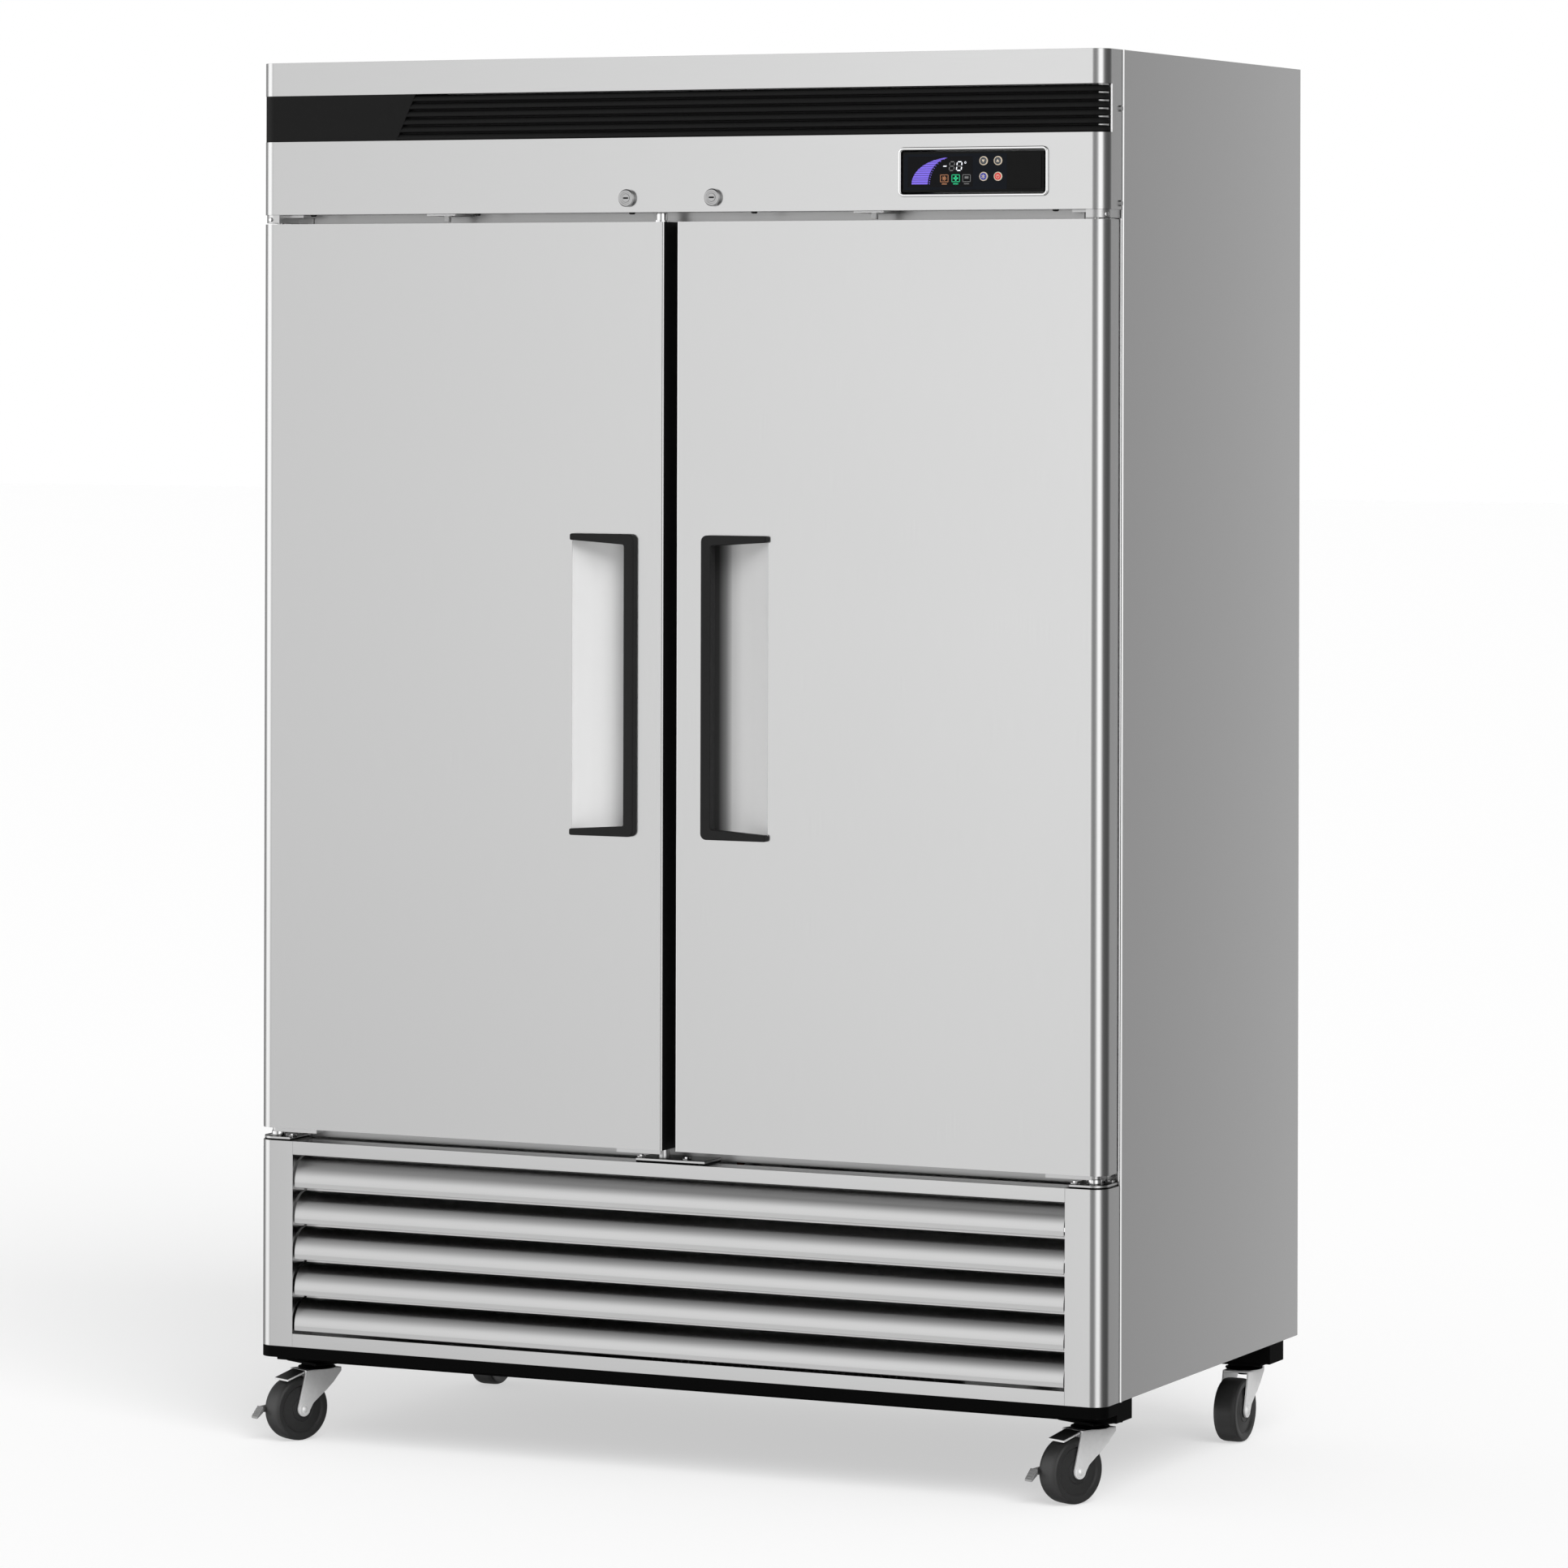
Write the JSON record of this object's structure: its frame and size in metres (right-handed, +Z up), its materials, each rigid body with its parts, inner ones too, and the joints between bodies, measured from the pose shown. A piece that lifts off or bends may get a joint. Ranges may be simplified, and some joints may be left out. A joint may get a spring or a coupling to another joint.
{
  "type": "reach-in refrigerator",
  "caption": "Upright commercial refrigerator on braked casters: solid stainless doors with recessed grips, louvred header with lock and display, curved grille over the condensing unit.",
  "frame": {"origin": "on the floor, under the middle of the cabinet", "axes": "+Z up, the doors face -Y, +X to the right seen from the front"},
  "size_m": [1.4032, 0.806, 2.083],
  "materials": {
    "stainless": "satin",
    "galvanised": "satin",
    "foam": "matte",
    "liner": "satin",
    "frame_plastic": "satin",
    "black_louvre": "satin",
    "chrome_trim": "polished",
    "control_black": "gloss",
    "display_glass": "gloss",
    "circuit_board": "satin",
    "hinge_steel": "satin",
    "screw_steel": "satin",
    "white_plastic": "satin",
    "base_black": "matte",
    "shelf_wire": "gloss",
    "upright_steel": "satin",
    "evaporator_case": "satin",
    "fin_aluminium": "satin",
    "compressor_black": "satin",
    "shroud_grey": "satin",
    "copper_tube": "satin",
    "gland_black": "matte",
    "gasket_grey": "matte",
    "handle_black": "satin",
    "button_grey": "satin",
    "button_blue": "satin",
    "button_red": "satin",
    "fan_black": "satin",
    "zinc": "satin",
    "wheel_rubber": "satin"
  },
  "bodies": {
    "cabinet": {"side_panels": "stainless", "header_panel": "stainless", "corner_posts": "stainless", "grille_frame": "stainless", "grille_blades": "stainless", "back_panel": "galvanised", "top_panel": "galvanised", "insulation": "foam", "inner_liner": "liner", "front_frame": "frame_plastic", "header_louvre": "black_louvre", "control_bezel": "chrome_trim", "lock_barrels": "chrome_trim", "control_face": "control_black", "display_window": "display_glass", "control_board": "circuit_board", "hinge_brackets": "hinge_steel", "panel_screws": "screw_steel", "door_switches": "white_plastic", "interior_lights": "white_plastic", "base_frame": "base_black", "caster_mounts": "base_black", "shelves": "shelf_wire", "shelf_supports": "upright_steel", "evaporator_housing": "evaporator_case", "finned_coils": "fin_aluminium", "compressor": "compressor_black", "fan_shroud": "shroud_grey", "refrigerant_lines": "copper_tube", "cord_gland": "gland_black"},
    "left_door": {"left_door_skin": "stainless", "left_door_core": "foam", "left_door_liner": "liner", "left_door_gasket": "gasket_grey", "left_door_handle": "handle_black", "left_door_fittings": "hinge_steel"},
    "right_door": {"right_door_skin": "stainless", "right_door_core": "foam", "right_door_liner": "liner", "right_door_gasket": "gasket_grey", "right_door_handle": "handle_black", "right_door_fittings": "hinge_steel"},
    "left_lock": {"left_lock_plug": "chrome_trim"},
    "right_lock": {"right_lock_plug": "chrome_trim"},
    "up_button": {"up_button": "button_grey"},
    "down_button": {"down_button": "button_grey"},
    "chill_button": {"chill_button": "button_blue"},
    "power_button": {"power_button": "button_red"},
    "condenser_fan": {"condenser_fan": "fan_black"},
    "evaporator_fan": {"evaporator_fan": "fan_black"},
    "front_left_caster": {"front_left_fork": "zinc"},
    "front_left_wheel": {"front_left_wheel": "wheel_rubber"},
    "front_right_caster": {"front_right_fork": "zinc"},
    "front_right_wheel": {"front_right_wheel": "wheel_rubber"},
    "rear_left_caster": {"rear_left_fork": "zinc"},
    "rear_left_wheel": {"rear_left_wheel": "wheel_rubber"},
    "rear_right_caster": {"rear_right_fork": "zinc"},
    "rear_right_wheel": {"rear_right_wheel": "wheel_rubber"},
    "front_left_pedal": {"front_left_pedal": "zinc"},
    "front_right_pedal": {"front_right_pedal": "zinc"}
  },
  "joints": [
    {"name": "left_door_hinge", "type": "hinge", "parent": "cabinet", "child": "left_door", "pos_m": [-0.667, -0.367, 0.477], "axis": [0, 0, -1], "range_deg": [0, 120]},
    {"name": "right_door_hinge", "type": "hinge", "parent": "cabinet", "child": "right_door", "pos_m": [0.667, -0.367, 0.477], "axis": [0, 0, 1], "range_deg": [0, 120]},
    {"name": "left_lock_turn", "type": "hinge", "parent": "cabinet", "child": "left_lock", "pos_m": [-0.07, -0.39, 1.875], "axis": [0, -1, 0], "range_deg": [0, 90]},
    {"name": "right_lock_turn", "type": "hinge", "parent": "cabinet", "child": "right_lock", "pos_m": [0.07, -0.39, 1.875], "axis": [0, 1, 0], "range_deg": [0, 90]},
    {"name": "up_press", "type": "slide", "parent": "cabinet", "child": "up_button", "axis": [0, 1, 0], "range_m": [0, 0.001], "stiffness_N_per_m": 400},
    {"name": "down_press", "type": "slide", "parent": "cabinet", "child": "down_button", "axis": [0, 1, 0], "range_m": [0, 0.001], "stiffness_N_per_m": 400},
    {"name": "chill_press", "type": "slide", "parent": "cabinet", "child": "chill_button", "axis": [0, 1, 0], "range_m": [0, 0.001], "stiffness_N_per_m": 400},
    {"name": "power_press", "type": "slide", "parent": "cabinet", "child": "power_button", "axis": [0, 1, 0], "range_m": [0, 0.001], "stiffness_N_per_m": 400},
    {"name": "condenser_fan_spin", "type": "hinge", "parent": "cabinet", "child": "condenser_fan", "pos_m": [0.15, -0.17, 0.2695], "axis": [0, 1, 0], "continuous": true},
    {"name": "evaporator_fan_spin", "type": "hinge", "parent": "cabinet", "child": "evaporator_fan", "pos_m": [0, -0.22, 1.925], "axis": [0, 1, 0], "continuous": true},
    {"name": "front_left_swivel", "type": "hinge", "parent": "cabinet", "child": "front_left_caster", "pos_m": [-0.635, -0.305, 0.103], "axis": [0, 0, 1], "continuous": true},
    {"name": "front_left_roll", "type": "hinge", "parent": "front_left_caster", "child": "front_left_wheel", "pos_m": [-0.65106, -0.33944, 0.048], "axis": [0.9063, -0.4226, 0], "continuous": true},
    {"name": "front_left_brake", "type": "hinge", "parent": "front_left_caster", "child": "front_left_pedal", "pos_m": [-0.65106, -0.33944, 0.048], "axis": [0.9063, -0.4226, 0], "range_deg": [0, 15]},
    {"name": "front_right_swivel", "type": "hinge", "parent": "cabinet", "child": "front_right_caster", "pos_m": [0.635, -0.305, 0.103], "axis": [0, 0, 1], "continuous": true},
    {"name": "front_right_roll", "type": "hinge", "parent": "front_right_caster", "child": "front_right_wheel", "pos_m": [0.61894, -0.33944, 0.048], "axis": [0.9063, -0.4226, 0], "continuous": true},
    {"name": "front_right_brake", "type": "hinge", "parent": "front_right_caster", "child": "front_right_pedal", "pos_m": [0.61894, -0.33944, 0.048], "axis": [0.9063, -0.4226, 0], "range_deg": [0, 15]},
    {"name": "rear_left_swivel", "type": "hinge", "parent": "cabinet", "child": "rear_left_caster", "pos_m": [-0.635, 0.306, 0.103], "axis": [0, 0, 1], "continuous": true},
    {"name": "rear_left_roll", "type": "hinge", "parent": "rear_left_caster", "child": "rear_left_wheel", "pos_m": [-0.635, 0.268, 0.048], "axis": [1, 0, 0], "continuous": true},
    {"name": "rear_right_swivel", "type": "hinge", "parent": "cabinet", "child": "rear_right_caster", "pos_m": [0.635, 0.306, 0.103], "axis": [0, 0, 1], "continuous": true},
    {"name": "rear_right_roll", "type": "hinge", "parent": "rear_right_caster", "child": "rear_right_wheel", "pos_m": [0.635, 0.268, 0.048], "axis": [1, 0, 0], "continuous": true}
  ]
}
